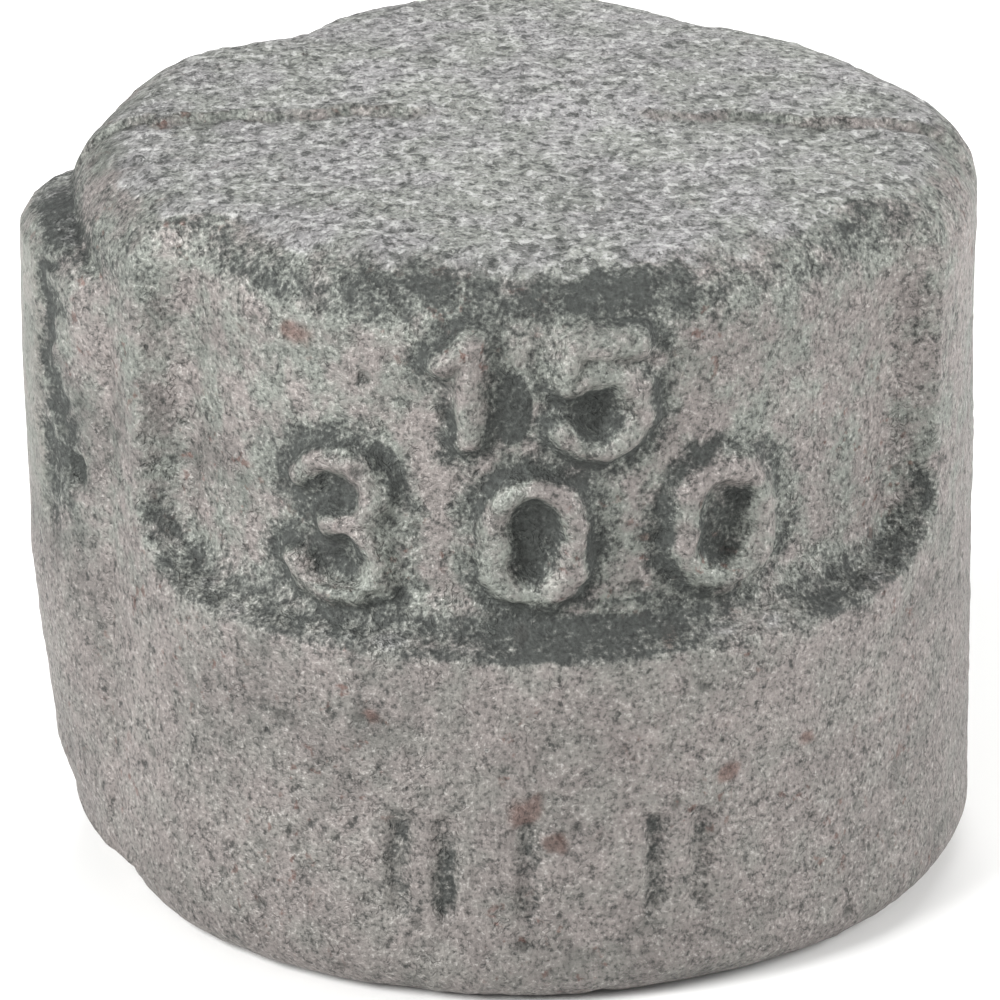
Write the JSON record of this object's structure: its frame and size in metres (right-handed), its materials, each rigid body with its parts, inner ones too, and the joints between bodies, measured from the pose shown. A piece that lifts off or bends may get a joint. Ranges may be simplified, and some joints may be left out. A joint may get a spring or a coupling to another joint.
{
  "type": "pipe cap",
  "caption": "Round threaded pipe cap in cast iron: banded mouth, two side ribs, recessed panels, slightly domed closed end, internal taper pipe thread.",
  "frame": {"origin": "centre of the threaded mouth, on the mouth face", "axes": "+Z along the cap's axis from the mouth to the closed end; +X and -X through the two ribs, with the gate stub on the -X rib; -Y is the front, with the raised numerals"},
  "size_m": [0.0359, 0.034, 0.0294],
  "materials": {
    "galvanized_casting": "rough sand-cast skin, galvanized and weathered matte grey"
  },
  "bodies": {
    "root": {"cap_casting": "galvanized_casting"}
  },
  "joints": []
}
